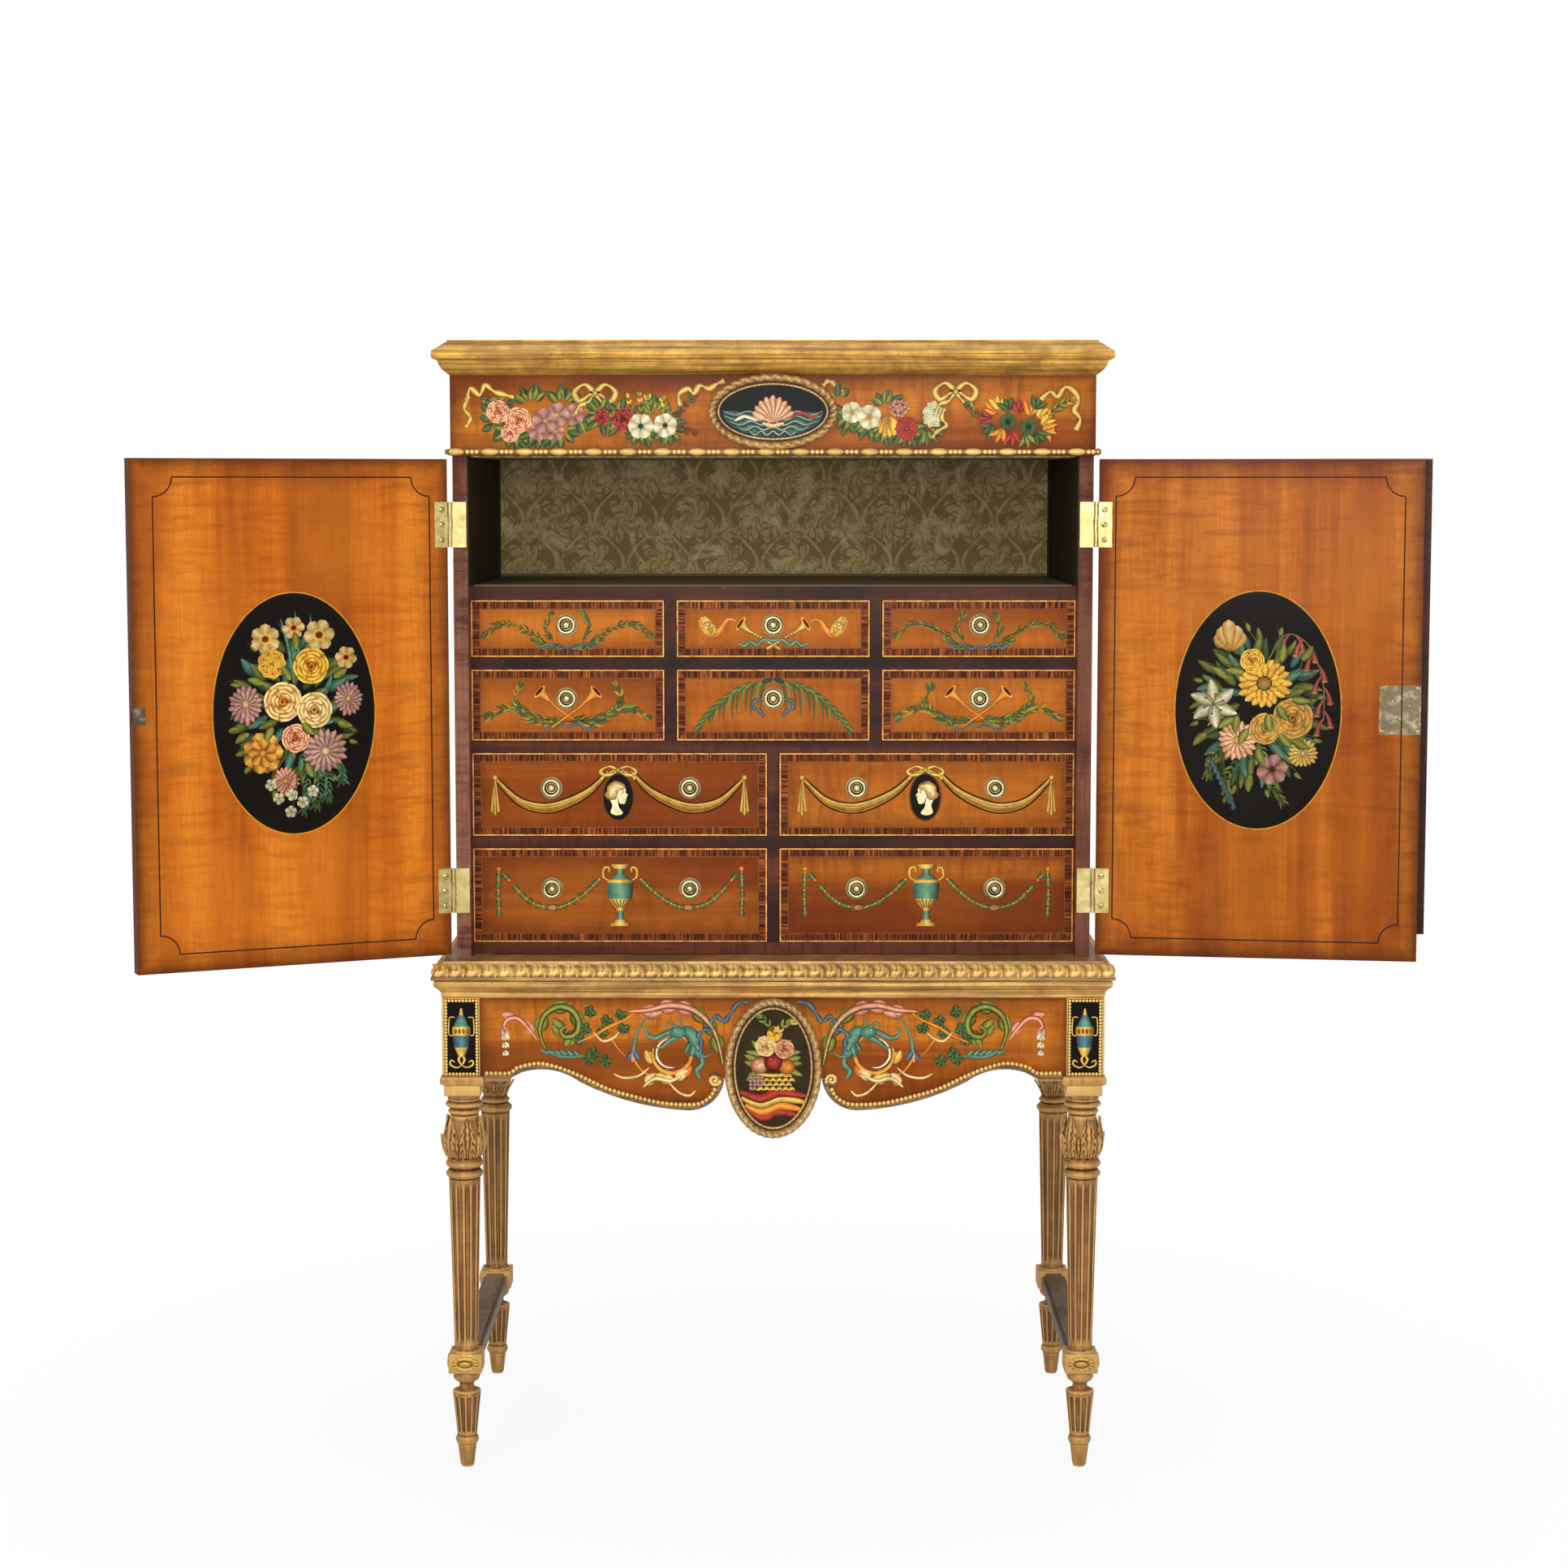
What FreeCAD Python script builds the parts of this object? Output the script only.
# Painted satinwood cabinet on a gilt stand, as separate pieces at their real size.
# Millimetres, +Z up, the front faces -Y. The origin is on the floor, midway between the four legs.
import FreeCAD
import Part
import math
import os
import Sketcher

doc = FreeCAD.newDocument("PaintedCabinet")

# Driving dimensions, in millimetres
DIMENSIONS = {
    # Carcase, outside and boards
    "carcase_width": 850.0,
    "carcase_depth": 440.0,
    "side_board": 19.0,
    "bottom_board": 15.5,
    "shelf_board": 18.0,
    "ceiling_board": 16.0,
    "top_board": 16.0,
    "back_board": 12.0,
    "lining": 2.0,
    "compartment_height": 173.5,
    "frieze_height": 105.0,
    # Drawer bank, from the bottom row up
    "row_four_height": 129.0,
    "row_three_height": 113.5,
    "row_two_height": 97.0,
    "row_one_height": 77.5,
    "dust_board": 15.5,
    "partition": 15.5,
    "drawer_recess": 30.0,
    "drawer_gap": 0.7,
    "drawer_length": 372.0,
    "drawer_front": 18.0,
    "drawer_side": 9.0,
    "drawer_bottom": 6.0,
    "drawer_side_drop": 8.0,
    # Ring pulls
    "plate_radius": 14.8,
    "plate_thickness": 1.6,
    "boss_radius": 4.6,
    "boss_height": 1.9,
    "ring_radius": 10.35,
    "ring_wire_radius": 1.8,
    "ring_stand_off": 4.2,
    "eye_width": 4.0,
    "eye_wall": 1.3,
    "eye_clearance": 0.1,
    "outer_pull_low_rows": 299.0,
    "inner_pull_low_rows": 112.5,
    "outer_pull_high_rows": 277.5,
    "pull_rise": 9.0,
    "top_pull_rise": 5.0,
    # Doors and hinges
    "door_thickness": 21.0,
    "door_gap": 1.0,
    "door_bottom_gap": 3.7,
    "door_top_gap": 4.4,
    "meeting_gap": 2.0,
    "pin_out": 3.6,
    "pin_radius": 1.5,
    "pin_clearance": 0.03,
    "knuckle_radius": 3.1,
    "knuckle_gap": 0.3,
    "hinge_height": 60.0,
    "hinge_inset": 56.5,
    "leaf_width": 17.6,
    "leaf_thickness": 2.0,
    "leaf_clearance": 0.05,
    # Lock, keep and cover strip
    "lock_width": 54.0,
    "lock_height": 65.0,
    "lock_depth": 12.0,
    "lock_plate": 2.0,
    "lock_rise": 2.5,
    "bolt_length": 34.0,
    "bolt_height": 15.0,
    "bolt_thickness": 5.0,
    "bolt_clearance": 0.4,
    "keep_width": 15.5,
    "keep_height": 22.0,
    "keep_depth": 12.0,
    "keep_wall": 2.0,
    "strip_width": 20.0,
    "strip_thickness": 5.0,
    "strip_gap": 0.5,
    "strip_lost_end": 34.0,
    # Cornice and strip under the frieze
    "cornice_height": 46.0,
    "cornice_proud": 22.4,
    "cornice_seat": 40.0,
    "dust_cover": 8.0,
    "bead_strip_height": 10.0,
    "bead_strip_proud": 6.5,
    # Plinth moulding and stand moulding
    "base_moulding_height": 25.0,
    "base_moulding_proud": 30.5,
    "stand_moulding_height": 24.5,
    "stand_moulding_proud": 27.0,
    "moulding_seat": 45.0,
    # Stand
    "leg_length": 647.0,
    "stand_proud": 15.6,
    "leg_block": 48.4,
    "leg_head_height": 106.0,
    "back_head_height": 199.0,
    "astragal_height": 12.0,
    "astragal_proud": 5.2,
    "leg_slab_height": 15.0,
    "apron_setback": 4.5,
    "apron_thickness": 18.0,
    "apron_moulding": 9.0,
    "apron_moulding_proud": 5.0,
    "volute_radius": 8.5,
    # Turned parts of the legs, from the floor up
    "toe_height": 31.0,
    "toe_radius": 8.5,
    "toe_ring_height": 13.0,
    "toe_ring_radius": 15.5,
    "foot_height": 60.0,
    "foot_low_radius": 13.2,
    "foot_top_radius": 19.0,
    "foot_neck_height": 15.0,
    "foot_neck_radius": 9.6,
    "foot_ring_height": 14.0,
    "foot_ring_radius": 18.0,
    "low_block_height": 27.0,
    "low_block": 45.0,
    "scotia_height": 8.0,
    "shaft_height": 230.0,
    "shaft_low_radius": 15.9,
    "shaft_top_radius": 21.2,
    "shaft_ring_height": 14.0,
    "shaft_ring_radius": 25.0,
    "vase_height": 59.0,
    "vase_radius": 25.2,
    "collar_height": 10.0,
    "collar_radius": 21.5,
    "flute_depth": 2.2,
    "stretcher_width": 34.0,
    "stretcher_height": 21.0,
    "stretcher_rebate": 5.0,
    # Oval medallions
    "frieze_oval_width": 165.0,
    "frieze_oval_height": 94.0,
    "apron_oval_width": 130.0,
    "apron_oval_height": 189.0,
    "oval_frame": 14.0,
    "oval_frame_thickness": 9.0,
    "oval_board": 5.0,
    "oval_chamfer": 3.0,
    "oval_top_gap": 0.5,
    # Overrun of every cut past the face it opens
    "overrun": 1.0,
}

# How far the doors stand open in the photograph, in degrees from shut
LEFT_DOOR_OPEN = 155.0
RIGHT_DOOR_OPEN = 171.0

FLUTES = 12
HINGE_KNUCKLES = 3
RING_SIDES = 10
WIRE_SIDES = 6
PLATE_SIDES = 12
BOSS_SIDES = 8
EYE_SIDES = 8
HINGE_SIDES = 10
TURNED_SIDES = 12
VOLUTE_SIDES = 12
OVAL_SIDES = 24

# Outlines as shares: (share of the moulding's projection, share of its height)
CORNICE_SHARES = ((0.0, 0.0), (0.12, 0.04), (0.45, 0.18), (0.62, 0.34), (0.66, 0.44), (0.94, 0.46),
                  (1.0, 0.54), (0.97, 0.68), (0.72, 0.76), (0.5, 0.84), (0.12, 0.96), (0.12, 1.0))
BASE_SHARES = ((0.5, 0.0), (0.98, 0.04), (1.0, 0.2), (0.9, 0.3), (0.86, 0.42), (0.6, 0.72),
               (0.52, 0.84), (0.5, 1.0))
STAND_SHARES = ((0.58, 0.0), (0.66, 0.1), (0.66, 0.3), (0.78, 0.5), (0.92, 0.62), (1.0, 0.74),
                (1.0, 0.94), (0.96, 1.0))
BEAD_STRIP_SHARES = ((0.6, 0.0), (1.0, 0.25), (1.0, 0.75), (0.6, 1.0))
# Turned outlines: (share of the greatest radius, share of the height)
RING_SHARES = ((0.78, 0.0), (1.0, 0.25), (1.0, 0.75), (0.78, 1.0))
TOE_SHARES = ((1.0, 0.0), (1.47, 1.0))
VASE_SHARES = ((0.68, 0.0), (0.8, 0.08), (0.97, 0.3), (1.0, 0.45), (0.93, 0.65), (0.78, 0.88), (0.74, 1.0))
COLLAR_SHARES = ((0.86, 0.0), (1.0, 0.6), (0.9, 1.0))
# Share of the way round that a flute takes
FLUTE_SHARE = 0.62
BELL_SHARES = ((0.62, 0.0), (0.72, 0.3), (0.95, 0.8), (1.0, 1.0))


class Size:
    """A length that knows both its number and the expression that binds it to the sheet."""

    def __init__(self, text, number):
        self.text = text
        self.number = number

    def _with(self, sign, other, number):
        text = other.text if isinstance(other, Size) else repr(float(other))
        return Size(f"({self.text} {sign} {text})", number)

    def __add__(self, other):
        return self._with("+", other, self.number + number_of(other))

    def __sub__(self, other):
        return self._with("-", other, self.number - number_of(other))

    def __mul__(self, other):
        return self._with("*", other, self.number * number_of(other))

    def __truediv__(self, other):
        return self._with("/", other, self.number / number_of(other))

    def __neg__(self):
        return Size(f"(-1 * {self.text})", -self.number)


def number_of(value):
    return value.number if isinstance(value, Size) else float(value)


def bind(thing, name, value):
    """Sets a property, through the sheet where the value is a size."""
    if isinstance(value, Size):
        thing.setExpression(name, value.text)
    elif number_of(value):
        thing.setExpression(name, repr(float(value)))


def fill_sheet():
    """Writes the driving dimensions to the sheet and returns them as bound sizes."""
    sheet = doc.addObject("Spreadsheet::Sheet", "Sizes")
    for row, (name, number) in enumerate(DIMENSIONS.items(), start=1):
        sheet.set(f"A{row}", name)
        sheet.set(f"B{row}", str(number))
        sheet.setAlias(f"B{row}", name)
    doc.recompute()
    return {name: Size(f"Sizes.{name}", float(sheet.get(name))) for name in DIMENSIONS}


size = fill_sheet()
ZERO = size["carcase_width"] * 0

# Heights of the main levels, from the floor up
STAND_TOP = size["leg_length"] + size["stand_moulding_height"]
BASE_TOP = STAND_TOP + size["base_moulding_height"]
ROW_FOUR = BASE_TOP + size["bottom_board"]
ROW_THREE = ROW_FOUR + size["row_four_height"] + size["dust_board"]
ROW_TWO = ROW_THREE + size["row_three_height"] + size["dust_board"]
ROW_ONE = ROW_TWO + size["row_two_height"] + size["dust_board"]
SHELF = ROW_ONE + size["row_one_height"]
COMPARTMENT = SHELF + size["shelf_board"]
CEILING = COMPARTMENT + size["compartment_height"]
CORNICE = CEILING + size["frieze_height"]

# Widths and depths. The stand stands proud of the carcase and of the shut doors on all four sides.
HALF_WIDTH = size["carcase_width"] / 2
INNER_HALF = HALF_WIDTH - size["side_board"]
DOOR_SPACE = size["door_thickness"] + size["door_gap"]
STAND_HALF_WIDTH = HALF_WIDTH + size["stand_proud"]
STAND_HALF_DEPTH = (size["carcase_depth"] + DOOR_SPACE) / 2 + size["stand_proud"]
FRONT = DOOR_SPACE + size["stand_proud"] - STAND_HALF_DEPTH
BACK = FRONT + size["carcase_depth"]
FACE = FRONT - DOOR_SPACE
LEG_X = STAND_HALF_WIDTH - size["leg_block"] / 2
LEG_Y = STAND_HALF_DEPTH - size["leg_block"] / 2
DRAWER_FACE = FRONT + size["drawer_recess"]
PIN_Y = FRONT - size["door_gap"] / 2
PIN_X = HALF_WIDTH + size["pin_out"]
DOOR_LOW = BASE_TOP + size["door_bottom_gap"]
DOOR_TOP = CEILING - size["door_top_gap"]
DOOR_WIDTH = HALF_WIDTH - size["meeting_gap"] / 2
# Across and through a door, measured from its hinge pin while it is shut
FREE_EDGE = size["pin_out"] + DOOR_WIDTH
DOOR_INNER = -size["door_gap"] / 2
DOOR_OUTER = DOOR_INNER - size["door_thickness"]
LOCK_MIDDLE = (DOOR_LOW + DOOR_TOP) / 2 + size["lock_rise"]
BOLT_Y = DOOR_INNER - (size["lock_plate"] + size["lock_depth"]) / 2


NODES = []


def node(thing, label):
    """Names a finished piece, so that it is written as a file of its own."""
    thing.Label = label
    NODES.append(thing)
    return thing


def place(thing, x=ZERO, y=ZERO, z=ZERO):
    for axis, value in zip("xyz", (x, y, z)):
        bind(thing, f"Placement.Base.{axis}", value)
    return thing


def box(name, corner, sides):
    """A board from its low corner and its three sides."""
    board = doc.addObject("Part::Box", name)
    for side, value in zip(("Length", "Width", "Height"), sides):
        bind(board, side, value)
    return place(board, *corner)


def group(name, parts):
    """Separate solids that share one node."""
    several = doc.addObject("Part::Compound", name)
    several.Links = parts
    return several


def cut(name, base, tool):
    result = doc.addObject("Part::Cut", name)
    result.Base = base
    result.Tool = tool
    return result


def fuse(name, parts):
    """Joins the parts into one; a part by itself needs no joining."""
    if len(parts) == 1:
        return parts[0]
    result = doc.addObject("Part::MultiFuse", name)
    result.Shapes = parts
    return result


def prism(name, sides, radius, height, x=ZERO, y=ZERO, z=ZERO):
    """An upright many-sided rod, whose corners lie on the radius."""
    rod = doc.addObject("Part::Prism", name)
    rod.Polygon = sides
    bind(rod, "Circumradius", radius)
    bind(rod, "Height", height)
    return place(rod, x, y, z)


def turned_forwards(rod):
    """Turns an upright rod so that it points out of the cabinet's front."""
    rod.Placement.Rotation = FreeCAD.Rotation(FreeCAD.Vector(1, 0, 0), 90)
    return rod


def corner_radius(flat_radius, sides):
    """Radius to the corners of a many-sided hole that clears a round of the given radius."""
    return flat_radius / math.cos(math.pi / sides)


def mirrored(source, name):
    """The same piece on the other side of the middle."""
    other = doc.addObject("Part::Mirroring", name)
    other.Source = source
    other.Normal = FreeCAD.Vector(1, 0, 0)
    return other


def pair(name, left):
    """A piece and its mirror image as one node."""
    return group(name, [left, mirrored(left, f"{name}_other")])


def sketch_on(body, name, role, offset=ZERO):
    """A sketch on one of the body's own origin planes, moved along the plane's normal."""
    sketch = body.newObject("Sketcher::SketchObject", name)
    plane = next(feature for feature in body.Origin.OriginFeatures if feature.Role == role)
    sketch.AttachmentSupport = (plane, [""])
    sketch.MapMode = "FlatFace"
    bind(sketch, "AttachmentOffset.Base.z", offset)
    return sketch


def vector(point):
    return FreeCAD.Vector(number_of(point[0]), number_of(point[1]), 0)


def pin_point(sketch, edge, end, point):
    """Ties one point of the sketch to the sheet, across and up from the origin."""
    for kind, value in (("DistanceX", point[0]), ("DistanceY", point[1])):
        tie = sketch.addConstraint(Sketcher.Constraint(kind, -1, 1, edge, end, number_of(value)))
        if isinstance(value, Size):
            sketch.setExpression(f"Constraints[{tie}]", value.text)


def end_at(sketch, edge, point):
    """Which end of the edge, 1 or 2, lies at the point."""
    near, far = [(sketch.getPoint(edge, end) - vector(point)).Length for end in (1, 2)]
    return 1 if near < far else 2


def draw(sketch, points, bends=(), closed=True):
    """Draws straight edges through the points; bends gives the middle point of each edge that is an arc."""
    bends = dict(bends)
    last = len(points) if closed else len(points) - 1
    edges = []
    for i in range(last):
        start = vector(points[i])
        end = vector(points[(i + 1) % len(points)])
        if i in bends:
            edges.append(sketch.addGeometry(Part.Arc(start, vector(bends[i]), end)))
        else:
            edges.append(sketch.addGeometry(Part.LineSegment(start, end)))
    # A clockwise arc keeps its ends the other way round, so each end is found by place
    for i, edge in enumerate(edges):
        first = end_at(sketch, edge, points[i])
        if i:
            sketch.addConstraint(Sketcher.Constraint("Coincident", edges[i - 1], previous, edge, first))
        pin_point(sketch, edge, first, points[i])
        previous = 3 - first
    if closed:
        first = end_at(sketch, edges[0], points[0])
        sketch.addConstraint(Sketcher.Constraint("Coincident", edges[-1], previous, edges[0], first))
    else:
        pin_point(sketch, edges[-1], previous, points[-1])
    for i, middle in bends.items():
        mark = sketch.addGeometry(Part.Point(vector(middle)), True)
        pin_point(sketch, mark, 1, middle)
        sketch.addConstraint(Sketcher.Constraint("PointOnObject", mark, 1, edges[i]))
    return sketch


def pad(body, sketch, length, reverse=False):
    feature = body.newObject("PartDesign::Pad", f"{sketch.Name}_pad")
    feature.Profile = sketch
    bind(feature, "Length", length)
    feature.Reversed = reverse
    return feature


def moulding(name, shares, proud, height, seat, half_width, front, back, low):
    """A moulding that runs round the front and both sides, with mitred corners and a flat back end."""
    body = doc.addObject("PartDesign::Body", name)
    place(body, z=low)
    path = sketch_on(body, f"{name}_path", "XY_Plane")
    draw(path, ((-half_width, back), (-half_width, front), (half_width, front), (half_width, back)),
         closed=False)
    profile = sketch_on(body, f"{name}_profile", "XZ_Plane", -back)
    outline = [(-half_width - proud * out, height * up) for out, up in shares]
    inner = seat - half_width
    draw(profile, [(inner, ZERO)] + outline + [(inner, height)])
    sweep = body.newObject("PartDesign::AdditivePipe", f"{name}_sweep")
    sweep.Profile = profile
    sweep.Spine = (path, ["Edge1", "Edge2", "Edge3"])
    sweep.Transition = "Right corner"
    return body


def carcase():
    inner_depth = size["carcase_depth"] - size["back_board"]
    side_height = CORNICE - BASE_TOP
    side = box("side_blank", (-HALF_WIDTH, FRONT, BASE_TOP),
               (size["side_board"], size["carcase_depth"], side_height))
    recesses = [leaf_recess(f"side_leaf_recess_{i}", low) for i, low in enumerate(hinge_lows())]
    node(pair("carcase_sides", cut("side_left", side, fuse("side_leaf_recesses", recesses))), "carcase_sides")
    width = INNER_HALF * 2
    levels = (("bottom", BASE_TOP, size["bottom_board"], DRAWER_FACE),
              ("shelf", SHELF, size["shelf_board"], DRAWER_FACE),
              ("ceiling", CEILING, size["ceiling_board"], FRONT),
              ("top", CORNICE - size["top_board"], size["top_board"], FRONT))
    boards = [box(f"board_{name}", (-INNER_HALF, front, low), (width, FRONT + inner_depth - front, thickness))
              for name, low, thickness, front in levels]
    node(group("carcase_boards", boards), "carcase_boards")
    node(box("carcase_back", (-INNER_HALF, FRONT + inner_depth, BASE_TOP),
             (width, size["back_board"], side_height)), "carcase_back")


def leaf_recess(name, low):
    """The shallow bed for a hinge leaf in the front edge of the left side."""
    reach = size["leaf_width"] + size["leaf_clearance"]
    return box(name, (-HALF_WIDTH - size["overrun"], FRONT - size["overrun"], low - size["leaf_clearance"]),
               (reach + size["overrun"], size["leaf_thickness"] + size["overrun"] + size["leaf_clearance"],
                size["hinge_height"] + size["leaf_clearance"] * 2))


def hinge_lows():
    """Lower ends of the lower and the upper hinge."""
    return (DOOR_LOW + size["hinge_inset"], DOOR_TOP - size["hinge_inset"] - size["hinge_height"])


def compartment_lining():
    """Thin boards covered in silk: floor, back, ceiling and two sides of the upper compartment."""
    thick = size["lining"]
    width = INNER_HALF * 2
    depth = size["carcase_depth"] - size["back_board"]
    floor_depth = depth - size["drawer_recess"]
    height = size["compartment_height"] - thick * 2
    back_y = FRONT + depth - thick
    side = box("lining_side", (-INNER_HALF, FRONT, COMPARTMENT + thick), (thick, depth - thick, height))
    node(group("compartment_lining", [
        box("lining_floor", (-INNER_HALF, DRAWER_FACE, COMPARTMENT), (width, floor_depth, thick)),
        box("lining_ceiling", (-INNER_HALF, FRONT, CEILING - thick), (width, depth, thick)),
        box("lining_back", (-INNER_HALF, back_y, COMPARTMENT + thick), (width, thick, height)),
        side,
        mirrored(side, "lining_side_other")]), "compartment_lining")


ROWS = (
    ("row_one", ROW_ONE, size["row_one_height"], 3, size["top_pull_rise"]),
    ("row_two", ROW_TWO, size["row_two_height"], 3, size["pull_rise"]),
    ("row_three", ROW_THREE, size["row_three_height"], 2, size["pull_rise"]),
    ("row_four", ROW_FOUR, size["row_four_height"], 2, size["pull_rise"]),
)
COLUMN_NAMES = {2: ("left", "right"), 3: ("left", "middle", "right")}


def column_width(columns):
    return (INNER_HALF * 2 - size["partition"] * (columns - 1)) / columns


def drawer_dividers():
    """Dust boards between the rows and upright partitions between the drawers of each row."""
    depth = size["carcase_depth"] - size["back_board"] - size["drawer_recess"]
    parts = [box(f"dust_board_under_{name}", (-INNER_HALF, DRAWER_FACE, low - size["dust_board"]),
                 (INNER_HALF * 2, depth, size["dust_board"]))
             for name, low, _, _, _ in ROWS[:-1]]
    for name, low, height, columns, _ in ROWS:
        step = column_width(columns) + size["partition"]
        for i in range(1, columns):
            left = step * i - size["partition"] - INNER_HALF
            parts.append(box(f"partition_{name}_{i}", (left, DRAWER_FACE, low),
                             (size["partition"], depth, height)))
    node(group("drawer_dividers", parts), "drawer_dividers")


def drawer(row, column, left, low, width, height):
    """A drawer box: front, two sides, back and bottom as separate boards."""
    gap = size["drawer_gap"]
    wall = size["drawer_side"]
    front = size["drawer_front"]
    base = low + gap
    tall = height - gap * 2
    side_tall = tall - size["drawer_side_drop"]
    behind = DRAWER_FACE + front
    length = size["drawer_length"] - front
    x = left + gap
    wide = width - gap * 2
    bottom_top = base + size["drawer_bottom"]
    name = f"drawer_{row}_{column}"
    boards = [
        box(f"{name}_front", (x, DRAWER_FACE, base), (wide, front, tall)),
        box(f"{name}_left_side", (x, behind, base), (wall, length, side_tall)),
        box(f"{name}_right_side", (x + wide - wall, behind, base), (wall, length, side_tall)),
        box(f"{name}_back", (x + wall, behind + length - wall, bottom_top),
            (wide - wall * 2, wall, side_tall - size["drawer_bottom"])),
        box(f"{name}_bottom", (x + wall, behind, base), (wide - wall * 2, length, size["drawer_bottom"]))]
    node(group(name, boards), name)


def pull_places(columns, column):
    """The pulls of one drawer: the end of their name and their distance from the cabinet's middle."""
    if columns == 3:
        outer = size["outer_pull_high_rows"]
        return [("", (-outer, ZERO, outer)[column])]
    outer = size["outer_pull_low_rows"]
    inner = size["inner_pull_low_rows"]
    return ([("_left", -outer), ("_right", -inner)], [("_left", inner), ("_right", outer)])[column]


RING_PIVOT_RISE = size["ring_radius"] * math.cos(math.pi / RING_SIDES)


def pull_plate(name, x, z):
    """Back plate with a boss in the middle and, above it, the eye that holds the ring."""
    boss_face = DRAWER_FACE - size["plate_thickness"]
    plate = turned_forwards(prism(f"{name}_plate", PLATE_SIDES, size["plate_radius"], size["plate_thickness"],
                                  x, DRAWER_FACE, z))
    boss = turned_forwards(prism(f"{name}_boss", BOSS_SIDES, size["boss_radius"], size["boss_height"],
                                 x, boss_face, z))
    hole_radius = size["ring_wire_radius"] + size["eye_clearance"]
    reach = hole_radius + size["eye_wall"]
    half = size["eye_width"] / 2
    pivot_y = boss_face - size["ring_stand_off"]
    pivot_z = z + RING_PIVOT_RISE
    block = box(f"{name}_eye_blank", (x - half, pivot_y - reach, pivot_z - reach),
                (size["eye_width"], size["ring_stand_off"] + reach, reach * 2))
    hole = prism(f"{name}_eye_hole", EYE_SIDES, corner_radius(hole_radius, EYE_SIDES),
                 size["eye_width"] + size["overrun"] * 2, x - half - size["overrun"], pivot_y, pivot_z)
    sideways = FreeCAD.Rotation(FreeCAD.Vector(0, 1, 0), 90)
    flat_side_up = FreeCAD.Rotation(FreeCAD.Vector(0, 0, 1), 180.0 / EYE_SIDES)
    hole.Placement.Rotation = sideways.multiply(flat_side_up)
    return fuse(f"{name}_back", [plate, boss, cut(f"{name}_eye", block, hole)])


def pull_ring(name, x, z):
    """The ring: a many-sided loop that hangs in the eye by its flat top side."""
    loop = doc.addObject("Part::RegularPolygon", f"{name}_line")
    loop.Polygon = RING_SIDES
    bind(loop, "Circumradius", size["ring_radius"])
    wire = doc.addObject("Part::RegularPolygon", f"{name}_section")
    wire.Polygon = WIRE_SIDES
    bind(wire, "Circumradius", size["ring_wire_radius"])
    bind(wire, "Placement.Base.x", size["ring_radius"])
    along = FreeCAD.Vector(math.cos(2 * math.pi / RING_SIDES) - 1, math.sin(2 * math.pi / RING_SIDES), 0)
    wire.Placement.Rotation = FreeCAD.Rotation(FreeCAD.Vector(0, 0, 1), along)
    ring = doc.addObject("Part::Sweep", name)
    ring.Sections = [wire]
    ring.Spine = (loop, [f"Edge{i + 1}" for i in range(RING_SIDES)])
    ring.Solid = True
    ring.Transition = "Right corner"
    upright = FreeCAD.Rotation(FreeCAD.Vector(1, 0, 0), 90)
    flat_top = FreeCAD.Rotation(FreeCAD.Vector(0, 0, 1), 90 + 180.0 / RING_SIDES)
    ring.Placement.Rotation = upright.multiply(flat_top)
    place(ring, x, DRAWER_FACE - size["plate_thickness"] - size["ring_stand_off"], z)
    return node(ring, name)


def drawers_and_pulls():
    for row, low, height, columns, rise in ROWS:
        width = column_width(columns)
        for i, column in enumerate(COLUMN_NAMES[columns]):
            left = (width + size["partition"]) * i - INNER_HALF
            drawer(row, column, left, low, width, height)
            middle = low + height / 2 + rise
            backs = []
            for end, x in pull_places(columns, i):
                backs.append(pull_plate(f"pull_{row}_{column}{end}", x, middle))
                pull_ring(f"pull_ring_{row}_{column}{end}", x, middle)
            plates = f"pull_plates_{row}_{column}"
            node(group(plates, backs), plates)


def frieze_and_cornice():
    board = box("frieze_board", (-HALF_WIDTH, FACE, CEILING),
                (HALF_WIDTH * 2, FRONT - FACE, size["frieze_height"]))
    node(board, "frieze_board")
    strip = moulding("bead_strip", BEAD_STRIP_SHARES, size["bead_strip_proud"], size["bead_strip_height"],
                     ZERO, HALF_WIDTH, FACE, BACK, CEILING)
    node(strip, "frieze_bead_strip")
    run = moulding("cornice_run", CORNICE_SHARES, size["cornice_proud"], size["cornice_height"],
                   size["cornice_seat"], HALF_WIDTH, FACE, BACK, CORNICE)
    inner = HALF_WIDTH - size["cornice_seat"]
    under_cover = size["cornice_height"] - size["dust_cover"]
    cover = box("cornice_cover", (-inner, FACE + size["cornice_seat"], CORNICE + under_cover),
                (inner * 2, BACK - FACE - size["cornice_seat"], size["dust_cover"]))
    rail = box("cornice_back_rail", (-inner, BACK - size["back_board"], CORNICE),
               (inner * 2, size["back_board"], under_cover))
    node(group("cornice", [run, cover, rail]), "cornice")


def back_rail(name, low, height):
    """Closes the open back of a moulded frame."""
    inner = HALF_WIDTH - size["moulding_seat"]
    return box(name, (-inner, BACK + size["stand_proud"] - size["moulding_seat"], low),
               (inner * 2, size["moulding_seat"], height))


def base_and_stand_mouldings():
    frame_back = BACK + size["stand_proud"]
    frames = (
        ("base", BASE_SHARES, size["base_moulding_proud"], size["base_moulding_height"]),
        ("stand", STAND_SHARES, size["stand_moulding_proud"], size["stand_moulding_height"]))
    for (name, shares, proud, height), low in zip(frames, (STAND_TOP, size["leg_length"])):
        run = moulding(f"{name}_run", shares, proud, height, size["moulding_seat"],
                       HALF_WIDTH, FACE, frame_back, low)
        rail = back_rail(f"{name}_back_rail", low, height)
        node(group(f"{name}_moulding", [run, rail]), f"{name}_moulding")


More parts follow.
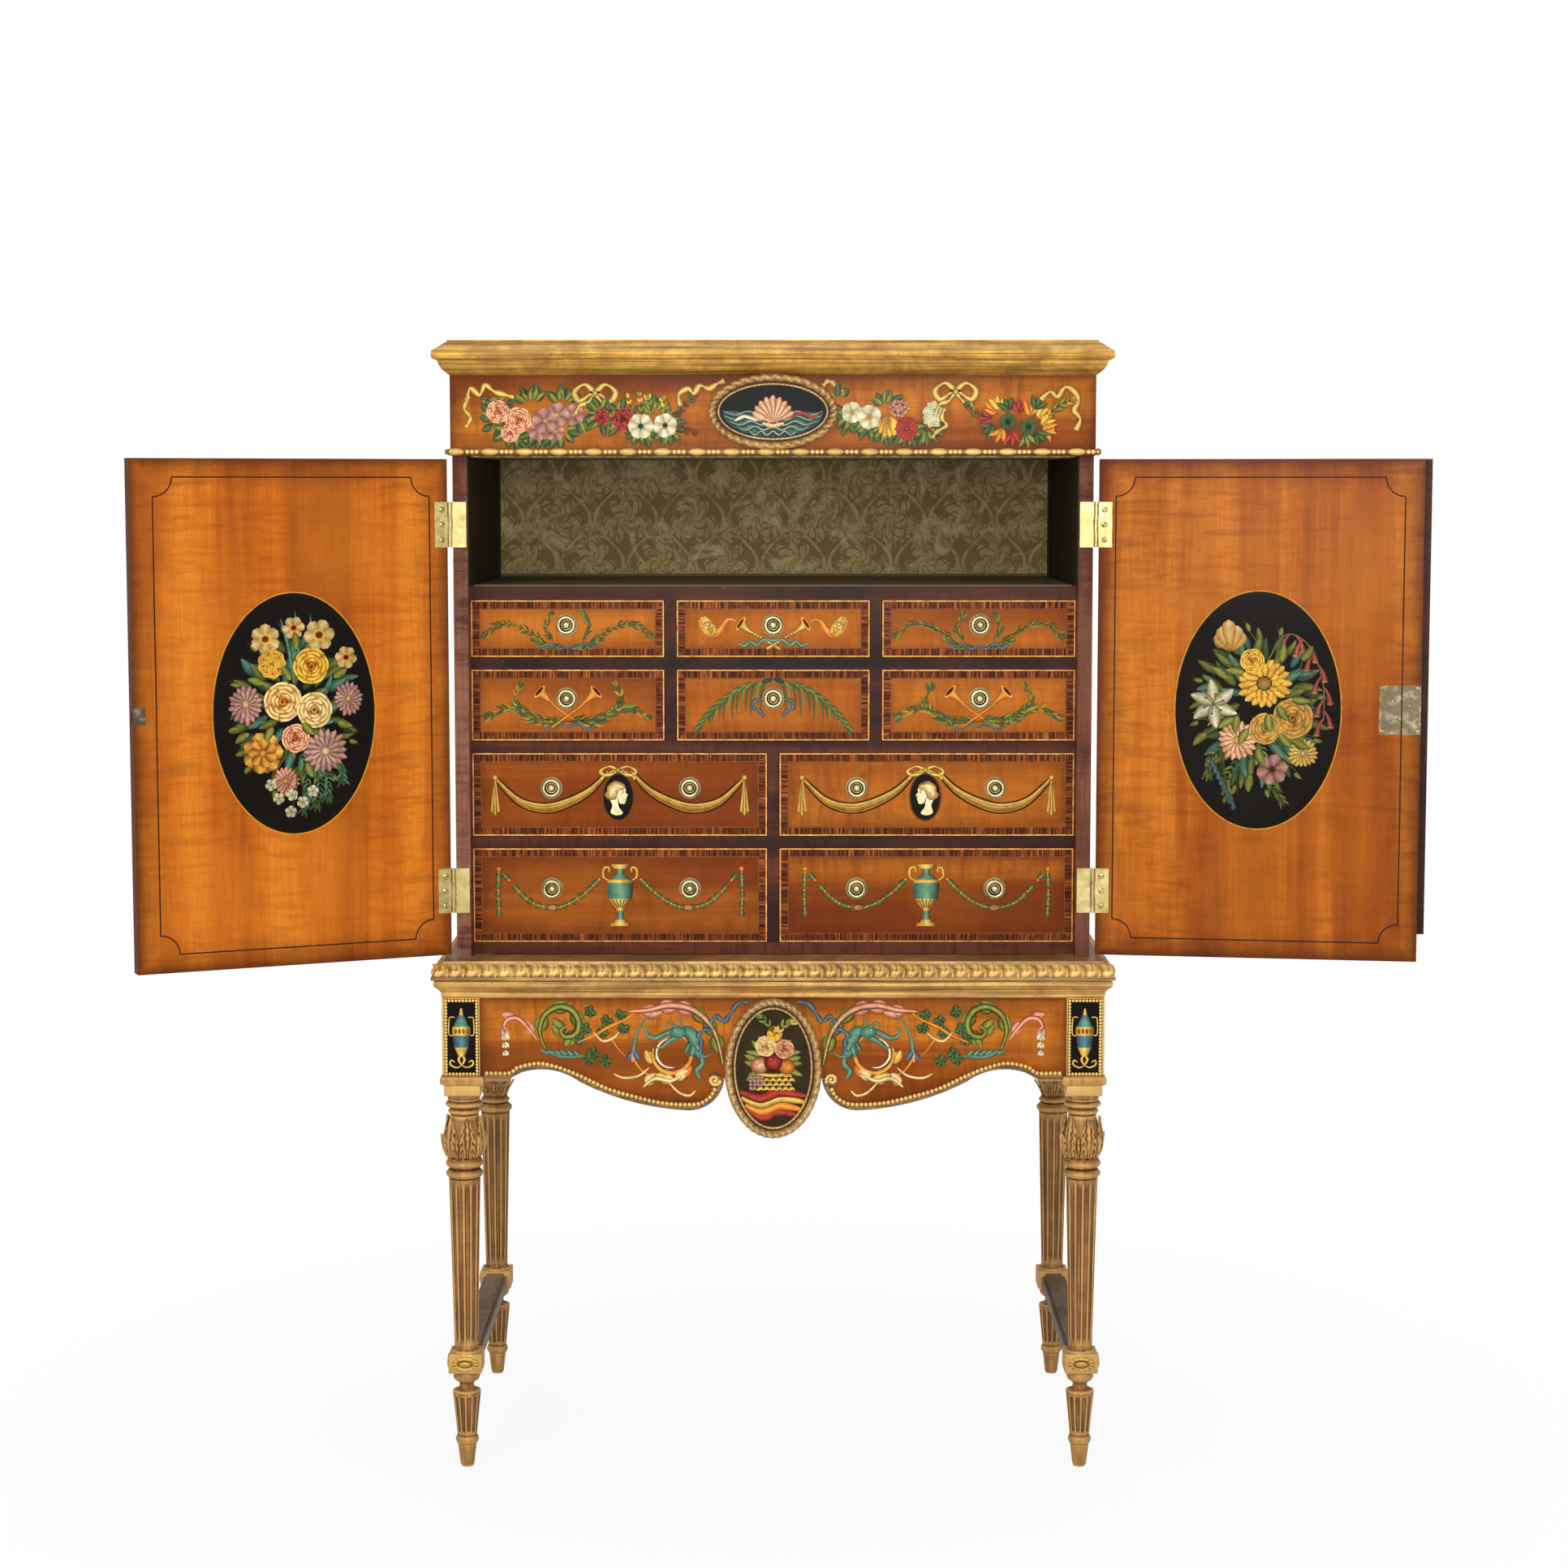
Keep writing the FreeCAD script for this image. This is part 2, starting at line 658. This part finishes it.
def member(shares, radius, height):
    """One turned member: its outline as (radius, rise) points, and its height."""
    return [(radius * out, height * up) for out, up in shares], height


def ring(radius, height):
    return member(RING_SHARES, radius, height)


def cone(low_radius, top_radius, height):
    return [(low_radius, ZERO), (top_radius, height)], height


def loft(name, sections):
    """A solid with straight sides between its sections."""
    solid = doc.addObject("Part::Loft", name)
    solid.Sections = sections
    solid.Solid = True
    solid.Ruled = True
    return solid


def turned(name, members, low):
    """Stacked members of turned work, each a many-sided loft; returns them and the height of their top."""
    solids = []
    for i, (outline, height) in enumerate(members):
        sections = []
        for radius, rise in outline:
            section = doc.addObject("Part::RegularPolygon", f"{name}_{i}_{len(sections)}")
            section.Polygon = TURNED_SIDES
            bind(section, "Circumradius", radius)
            sections.append(place(section, z=low + rise))
        solids.append(loft(f"{name}_{i}", sections))
        low = low + height
    return solids, low


def square_block(name, side, low, height):
    half = side / 2
    return box(name, (-half, -half, low), (side, side, height))


def fluted_section(name, radius, z):
    """A round outline with evenly spaced flutes: each is two edges and a bottom."""
    sketch = doc.addObject("Sketcher::SketchObject", name)
    place(sketch, z=z)
    half_flute = FLUTE_SHARE * math.pi / FLUTES
    points = []
    for i in range(FLUTES):
        middle = 2 * math.pi * i / FLUTES
        for turn, out in ((-half_flute, radius), (0, radius - size["flute_depth"]), (half_flute, radius)):
            points.append((out * math.cos(middle + turn), out * math.sin(middle + turn)))
    return draw(sketch, points)


def fluted_cone(name, low, height, low_radius, top_radius):
    """A tapering shaft with flutes from end to end."""
    return loft(name, [fluted_section(f"{name}_low", low_radius, low),
                       fluted_section(f"{name}_top", top_radius, low + height)])


def lower_leg(name):
    """Toe, fluted foot, square block and fluted shaft, which front and back legs share."""
    toe, low = turned(f"{name}_toe", (member(TOE_SHARES, size["toe_radius"], size["toe_height"]),
                                      ring(size["toe_ring_radius"], size["toe_ring_height"])), ZERO)
    foot = fluted_cone(f"{name}_foot", low, size["foot_height"],
                       size["foot_low_radius"], size["foot_top_radius"])
    neck, low = turned(f"{name}_foot_neck", (
        cone(size["foot_neck_radius"], size["foot_neck_radius"], size["foot_neck_height"]),
        ring(size["foot_ring_radius"], size["foot_ring_height"])), low + size["foot_height"])
    block = square_block(f"{name}_low_block", size["low_block"], low, size["low_block_height"])
    scotia, low = turned(f"{name}_scotia", (
        cone(size["shaft_top_radius"], size["shaft_low_radius"], size["scotia_height"]),),
        low + size["low_block_height"])
    shaft = fluted_cone(f"{name}_shaft", low, size["shaft_height"],
                        size["shaft_low_radius"], size["shaft_top_radius"])
    return toe + [foot] + neck + [block] + scotia + [shaft], low + size["shaft_height"]


def front_leg():
    parts, low = lower_leg("front_leg")
    head_low = size["leg_length"] - size["leg_head_height"]
    astragal_low = head_low - size["astragal_height"]
    slab_low = astragal_low - size["leg_slab_height"]
    vase, neck_low = turned("front_leg_vase", (
        ring(size["shaft_ring_radius"], size["shaft_ring_height"]),
        ring(size["vase_radius"], size["shaft_ring_height"]),
        member(VASE_SHARES, size["vase_radius"], size["vase_height"]),
        member(COLLAR_SHARES, size["collar_radius"], size["collar_height"]),
        ring(size["shaft_ring_radius"], size["collar_height"])), low)
    neck, _ = turned("front_leg_neck", (
        cone(size["collar_radius"], size["leg_block"] / 2, slab_low - neck_low),), neck_low)
    squares = [square_block(f"front_leg_{label}", side, start, height) for label, side, start, height in (
        ("slab", size["leg_block"], slab_low, size["leg_slab_height"]),
        ("astragal", size["leg_block"] + size["astragal_proud"] * 2, astragal_low, size["astragal_height"]),
        ("head", size["leg_block"], head_low, size["leg_head_height"]))]
    return place(fuse("front_leg", parts + vase + neck + squares), -LEG_X, -LEG_Y)


def back_leg():
    parts, low = lower_leg("back_leg")
    head_low = size["leg_length"] - size["back_head_height"]
    bell_height = head_low - low - size["shaft_ring_height"] - size["collar_height"]
    bell, _ = turned("back_leg_bell", (
        ring(size["shaft_ring_radius"], size["shaft_ring_height"]),
        ring(size["collar_radius"], size["collar_height"]),
        member(BELL_SHARES, size["leg_block"] / 2, bell_height)), low)
    head = square_block("back_leg_head", size["leg_block"], head_low, size["back_head_height"])
    return place(fuse("back_leg", parts + bell + [head]), -LEG_X, LEG_Y)


def legs():
    node(pair("front_legs", front_leg()), "front_legs")
    node(pair("back_legs", back_leg()), "back_legs")


def side_stretchers():
    """Moulded boards between the lower blocks, with a rebate along both top edges."""
    body = doc.addObject("PartDesign::Body", "stretcher")
    half = size["stretcher_width"] / 2
    low = (size["low_block_height"] - size["stretcher_height"]) / 2
    top = low + size["stretcher_height"]
    step = size["stretcher_rebate"]
    start = LEG_Y - size["low_block"] / 2
    section = sketch_on(body, "stretcher_section", "XZ_Plane", -start)
    draw(section, ((-half, low), (half, low), (half, top - step), (half - step, top - step),
                   (half - step, top), (step - half, top), (step - half, top - step), (-half, top - step)))
    pad(body, section, start * 2)
    block_low = (size["toe_height"] + size["toe_ring_height"] + size["foot_height"]
                 + size["foot_neck_height"] + size["foot_ring_height"])
    place(body, -LEG_X, ZERO, block_low)
    node(pair("side_stretchers", body), "side_stretchers")


# The front apron's lower edge, from a leg towards the middle: shares of the distance from the middle
# to the leg's inner face, and of the head's height, measured from the leg head's foot downwards
APRON_REACH_SHARES = (1.0, 0.905, 0.865, 0.655, 0.30, 0.178)
APRON_DROP_SHARES = (0.0, 0.0, -0.08, 0.04, 0.4, 0.04)
APRON_ARCH_SHARE = (0.796, -0.125)
APRON_FALL_SHARE = (0.4615, 0.31)
APRON_CURL_SHARE = (0.212, 0.29)
# Section of the moulding along that edge: (share of its projection, share of its half width)
EDGE_SHARES = ((0.0, -1.0), (1.0, -0.6), (1.0, 0.6), (0.0, 1.0))
VOLUTE_SHARE = 1.4


def apron_edge():
    """Points of the lower edge on the left half, and the middle points of its three arcs."""
    reach = LEG_X - size["leg_block"] / 2
    foot = size["leg_length"] - size["leg_head_height"]
    drop = size["leg_head_height"]

    def spot(across, down):
        return (-reach * across, foot - drop * down)

    points = [spot(a, d) for a, d in zip(APRON_REACH_SHARES, APRON_DROP_SHARES)]
    bends = {2: spot(*APRON_ARCH_SHARE), 3: spot(*APRON_FALL_SHARE), 4: spot(*APRON_CURL_SHARE)}
    return points, bends


def mirrored_points(points):
    return [(-x, z) for x, z in reversed(points)]


def aprons():
    face = -STAND_HALF_DEPTH + size["apron_setback"]
    points, bends = apron_edge()
    top = size["leg_length"]
    body = doc.addObject("PartDesign::Body", "apron_front_board")
    outline = sketch_on(body, "apron_outline", "XZ_Plane", -face)
    right = mirrored_points(points)
    ring = [(points[0][0], top)] + points + right + [(-points[0][0], top)]
    arcs = {i + 1: middle for i, middle in bends.items()}
    count = len(points)
    for i, (x, z) in bends.items():
        arcs[1 + count + (count - 2 - i)] = (-x, z)
    draw(outline, ring, arcs)
    pad(body, outline, size["apron_thickness"], reverse=True)
    node(body, "apron_front")
    low = size["leg_length"] - size["leg_head_height"]
    length = LEG_Y - size["leg_block"] / 2
    side = box("apron_side", (size["apron_setback"] - STAND_HALF_WIDTH, -length, low),
               (size["apron_thickness"], length * 2, size["leg_head_height"]))
    reach = LEG_X - size["leg_block"] / 2
    back = box("apron_back", (-reach, -face - size["apron_thickness"], low),
               (reach * 2, size["apron_thickness"], size["leg_head_height"]))
    boards = [side, mirrored(side, "apron_side_other"), back]
    node(group("apron_sides_and_back", boards), "apron_sides_and_back")
    apron_bead_moulding(points, bends, face)


def apron_bead_moulding(points, bends, face):
    """A raised moulding that follows the front apron's lower edge and ends in a volute."""
    body = doc.addObject("PartDesign::Body", "edge_moulding")
    start = size["leg_block"] / 2 + size["astragal_proud"] - LEG_X
    z = points[0][1]
    path = sketch_on(body, "edge_path", "XZ_Plane", -face)
    draw(path, [(start, z)] + points[1:], bends, closed=False)
    section = sketch_on(body, "edge_section", "YZ_Plane", start)
    proud = size["apron_moulding_proud"]
    wide = size["apron_moulding"] / 2
    draw(section, [(face - proud * out, z + wide * up) for out, up in EDGE_SHARES])
    sweep = body.newObject("PartDesign::AdditivePipe", "edge_sweep")
    sweep.Profile = section
    sweep.Spine = (path, [f"Edge{i + 1}" for i in range(len(points) - 1)])
    sweep.Transition = "Right corner"
    end = points[-1]
    disc = turned_forwards(prism("volute", VOLUTE_SIDES, size["volute_radius"], proud * VOLUTE_SHARE,
                                 end[0] - size["volute_radius"], face, end[1]))
    node(pair("apron_bead_moulding", fuse("edge_with_volute", [body, disc])), "apron_bead_moulding")


def oval(name, width, height, face, low):
    """An oval painted board in a chamfered frame; the frame is proud of the board."""
    middle = low + height / 2
    board = doc.addObject("PartDesign::Body", f"{name}_board")
    outline = sketch_on(board, f"{name}_board_outline", "XZ_Plane", -face)
    draw(outline, oval_points(width / 2, height / 2, middle))
    pad(board, outline, size["oval_board"])
    frame = doc.addObject("PartDesign::Body", f"{name}_frame")
    rims = sketch_on(frame, f"{name}_frame_rims", "XZ_Plane", size["oval_board"] - face)
    for rim in (ZERO, size["oval_frame"]):
        draw(rims, oval_points(width / 2 - rim, height / 2 - rim, middle))
    raised = pad(frame, rims, size["oval_frame_thickness"])
    doc.recompute()
    behind_front = number_of(face - size["oval_board"] - size["oval_frame_thickness"] / 2)
    edges = [f"Edge{i + 1}" for i, edge in enumerate(raised.Shape.Edges) if edge.BoundBox.YMax < behind_front]
    chamfer = frame.newObject("PartDesign::Chamfer", f"{name}_chamfer")
    chamfer.Base = (raised, edges)
    bind(chamfer, "Size", size["oval_chamfer"])
    return [board, frame]


def oval_points(across, up, middle):
    """An ellipse as evenly turned corners."""
    turns = [2 * math.pi * i / OVAL_SIDES for i in range(OVAL_SIDES)]
    return [(across * math.cos(turn), middle + up * math.sin(turn)) for turn in turns]


def medallions():
    apron_face = -STAND_HALF_DEPTH + size["apron_setback"]
    frieze_low = CEILING + size["bead_strip_height"] + (
        size["frieze_height"] - size["bead_strip_height"] - size["frieze_oval_height"]) / 2
    apron_low = size["leg_length"] - size["apron_oval_height"] - size["oval_top_gap"]
    parts = oval("frieze_oval", size["frieze_oval_width"], size["frieze_oval_height"], FACE, frieze_low)
    parts += oval("apron_oval", size["apron_oval_width"], size["apron_oval_height"], apron_face, apron_low)
    node(group("oval_medallions", parts), "oval_medallions")


def barrels(name, low, first, x=ZERO, y=ZERO):
    """Every other barrel of a hinge, from the bottom, and the notches that the other barrels turn in."""
    step = size["hinge_height"] / HINGE_KNUCKLES
    gap = size["knuckle_gap"]
    radius = size["knuckle_radius"]
    notch_radius = corner_radius(radius + gap, HINGE_SIDES)
    own = []
    notches = []
    for i in range(HINGE_KNUCKLES):
        level = low + step * i
        if i % 2 == first:
            own.append(prism(f"{name}_barrel_{i}", HINGE_SIDES, radius, step - gap * 2, x, y, level + gap))
        else:
            notches.append(prism(f"{name}_notch_{i}", HINGE_SIDES, notch_radius, step, x, y, level))
    return own, fuse(f"{name}_notches", notches)


def leaf_blank(name, x, y, low):
    return box(name, (x, y, low),
               (size["leaf_width"] + size["pin_out"], size["leaf_thickness"], size["hinge_height"]))


def carcase_hinge_leaf(name, low):
    """The fixed leaf of a left hinge, with its own barrels and the pin through all of them."""
    own, notches = barrels(name, low, 0, -PIN_X, PIN_Y)
    leaf = cut(f"{name}_notched", leaf_blank(f"{name}_leaf", -PIN_X, FRONT, low), notches)
    pin = prism(f"{name}_pin", HINGE_SIDES, size["pin_radius"], size["hinge_height"], -PIN_X, PIN_Y, low)
    return fuse(name, [leaf, pin] + own)


def door_hinge_leaf(name, low):
    """The moving leaf of a left hinge, drawn round its pin with the door shut."""
    own, notches = barrels(name, low, 1)
    blank = leaf_blank(f"{name}_leaf", ZERO, DOOR_INNER - size["leaf_thickness"], low)
    leaf = fuse(f"{name}_blank", [cut(f"{name}_notched", blank, notches)] + own)
    bore = doc.addObject("Part::Cylinder", f"{name}_bore")
    bind(bore, "Radius", size["pin_radius"] + size["pin_clearance"])
    bind(bore, "Height", size["hinge_height"] + size["overrun"] * 2)
    return cut(name, leaf, place(bore, z=low - size["overrun"]))


# Door pieces are drawn for a shut left door, with the axis of its hinge pin as their origin
def hang(name, pieces, side, angle):
    """Hangs door pieces on their pin, turned open: side is -1 for the left door and 1 for the right."""
    if side > 0:
        pieces = [mirrored(piece, f"{name}_{i}_mirrored") for i, piece in enumerate(pieces)]
    door_piece = group(name, pieces)
    door_piece.Placement.Rotation = FreeCAD.Rotation(FreeCAD.Vector(0, 0, 1), angle * side)
    node(place(door_piece, PIN_X * side, PIN_Y), name)


def bed(name, start, end, depth, low, height):
    """A bed in a door's inner face for a fitting, from start to end across the door."""
    clear = size["leaf_clearance"]
    return box(name, (start, DOOR_INNER - depth - clear, low - clear),
               (end - start, depth + clear + size["overrun"], height + clear * 2))


def door(word, side, angle):
    """A plain board with beds for two hinge leaves and, at its free edge, for the lock or the keep."""
    clear = size["leaf_clearance"]
    fitting = "lock" if side > 0 else "keep"
    blank = box(f"door_{word}_blank", (size["pin_out"], DOOR_OUTER, DOOR_LOW),
                (DOOR_WIDTH, size["door_thickness"], DOOR_TOP - DOOR_LOW))
    leaf_start = size["pin_out"] - size["overrun"]
    leaf_end = size["pin_out"] + size["leaf_width"] + clear
    beds = [bed(f"door_{word}_bed_{i}", leaf_start, leaf_end, size["leaf_thickness"], low,
                size["hinge_height"])
            for i, low in enumerate(hinge_lows())]
    height = size[f"{fitting}_height"]
    fitting_start = FREE_EDGE - size[f"{fitting}_width"] - clear
    beds.append(bed(f"{fitting}_bed", fitting_start, FREE_EDGE + size["overrun"], size[f"{fitting}_depth"],
                    LOCK_MIDDLE - height / 2, height))
    board = cut(f"door_{word}_board", blank, fuse(f"door_{word}_beds", beds))
    hang(f"door_{word}", [board], side, angle)
    leaves = [door_hinge_leaf(f"door_{word}_hinge_{i}", low) for i, low in enumerate(hinge_lows())]
    hang(f"door_{word}_hinge_leaves", leaves, side, angle)


def edge_fitting(name, width, depth, height):
    """A block let into the inner face at a door's free edge."""
    return box(name, (FREE_EDGE - width, DOOR_INNER - depth, LOCK_MIDDLE - height / 2),
               (width, depth, height))


def bolt_space(name, width, height, clear):
    """The bolt's own section, with a clearance round it, run back from the free edge."""
    thickness = size["bolt_thickness"] + clear * 2
    return box(name, (FREE_EDGE - width, BOLT_Y - thickness / 2, LOCK_MIDDLE - height / 2),
               (width, thickness, height))


def lock_and_keep():
    """The lock with its sliding bolt in the right door, and the keep that takes the bolt in the left door."""
    clear = size["bolt_clearance"]
    past = size["overrun"]
    lock = edge_fitting("lock_blank", size["lock_width"], size["lock_depth"], size["lock_height"])
    tunnel = bolt_space("lock_tunnel", size["bolt_length"] + clear, size["bolt_height"] + clear * 2, clear)
    bind(tunnel, "Length", size["bolt_length"] + clear + past)
    hang("lock_case", [cut("lock_body", lock, tunnel)], 1, RIGHT_DOOR_OPEN)
    bolt = bolt_space("bolt", size["bolt_length"], size["bolt_height"], ZERO)
    hang("lock_bolt", [bolt], 1, RIGHT_DOOR_OPEN)
    keep = edge_fitting("keep_blank", size["keep_width"], size["keep_depth"], size["keep_height"])
    hollow = bolt_space("keep_hollow", size["keep_width"] - size["keep_wall"],
                        size["keep_height"] - size["keep_wall"] * 2, clear)
    bind(hollow, "Length", size["keep_width"] + past)
    hang("lock_keep", [cut("keep_box", keep, hollow)], -1, LEFT_DOOR_OPEN)


def cover_strip():
    """The strip on the outside of the right door that covers the joint; its lower end is lost."""
    low = DOOR_LOW + size["strip_lost_end"]
    height = DOOR_TOP - low
    start = FREE_EDGE - size["strip_width"] / 2
    board = box("strip_board", (start, DOOR_OUTER - size["strip_thickness"], low),
                (size["strip_width"], size["strip_thickness"], height))
    relief = box("strip_relief", (FREE_EDGE, DOOR_OUTER - size["strip_gap"], low - size["overrun"]),
                 (size["strip_width"], size["strip_gap"] + size["overrun"], height + size["overrun"] * 2))
    hang("cover_strip", [cut("strip_rebated", board, relief)], 1, RIGHT_DOOR_OPEN)


def hinges_on_carcase():
    leaves = [carcase_hinge_leaf(f"left_hinge_{i}", low) for i, low in enumerate(hinge_lows())]
    node(pair("carcase_hinge_leaves", group("left_hinge_leaves", leaves)), "carcase_hinge_leaves")


def build():
    carcase()
    compartment_lining()
    drawer_dividers()
    drawers_and_pulls()
    frieze_and_cornice()
    base_and_stand_mouldings()
    legs()
    side_stretchers()
    aprons()
    medallions()
    hinges_on_carcase()
    door("left", -1, LEFT_DOOR_OPEN)
    door("right", 1, RIGHT_DOOR_OPEN)
    lock_and_keep()
    cover_strip()
    doc.recompute()


def check():
    """Stops before anything is written if an object failed or a shape is missing or broken."""
    failed = [thing.Label for thing in doc.Objects if {"Invalid", "Error"} & set(thing.State)]
    broken = [thing.Label for thing in NODES if thing.Shape.isNull() or not thing.Shape.isValid()]
    if failed or broken:
        raise RuntimeError(f"failed: {failed}; broken: {broken}")


def write():
    os.makedirs("parts", exist_ok=True)
    for thing in NODES:
        thing.Shape.exportStep(os.path.join("parts", f"{thing.Label}.step"))
        print(thing.Label, len(thing.Shape.Solids), round(thing.Shape.Volume), thing.Shape.BoundBox)


build()
check()
write()
print(len(NODES), "nodes")
